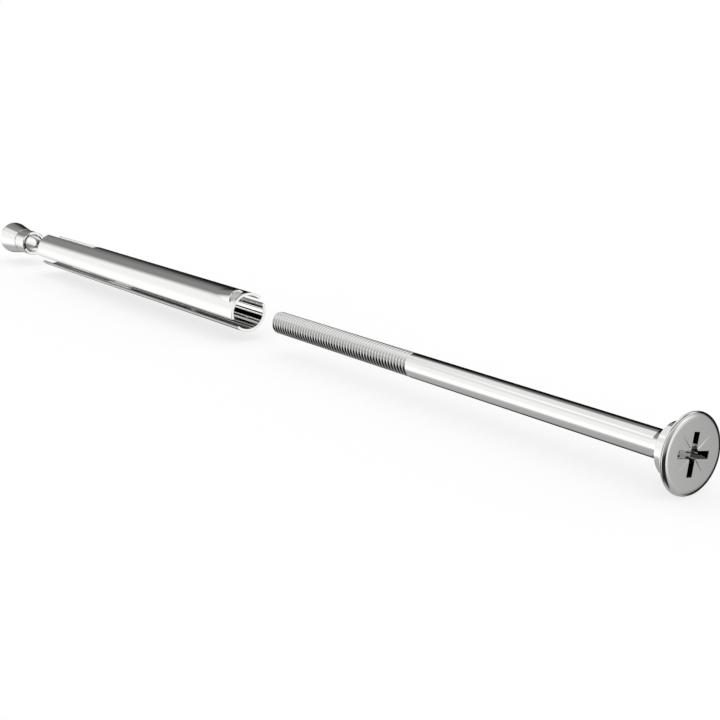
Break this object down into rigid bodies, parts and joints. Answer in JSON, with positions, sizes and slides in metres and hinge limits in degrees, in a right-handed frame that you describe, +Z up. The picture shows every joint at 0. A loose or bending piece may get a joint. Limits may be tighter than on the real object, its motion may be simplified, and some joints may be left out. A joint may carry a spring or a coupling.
{
  "type": "door frame anchor",
  "caption": "Metal frame anchor drawn apart: long screw with cross recess head, slotted expansion sleeve with lanced lug, and cone nut.",
  "frame": {"origin": "centre of the sleeve's mouth, on the common axis of the three pieces", "axes": "+X out of the sleeve's mouth towards the screw's head, +Z up as the anchor lies on its side"},
  "size_m": [0.2984, 0.015, 0.015],
  "materials": {
    "screw_steel": "bright zinc plated, polished",
    "sleeve_steel": "bright zinc plated, polished",
    "nut_steel": "bright zinc plated, polished"
  },
  "bodies": {
    "sleeve": {"expansion_sleeve": "sleeve_steel"},
    "screw": {"frame_screw": "screw_steel"},
    "nut": {"cone_nut": "nut_steel"}
  },
  "joints": [
    {"name": "screw_slide", "type": "slide", "parent": "sleeve", "child": "screw", "axis": [-1, 0, 0], "range_m": [0, 0.1407]},
    {"name": "nut_slide", "type": "slide", "parent": "sleeve", "child": "nut", "axis": [1, 0, 0], "range_m": [0, 0.0253]}
  ]
}
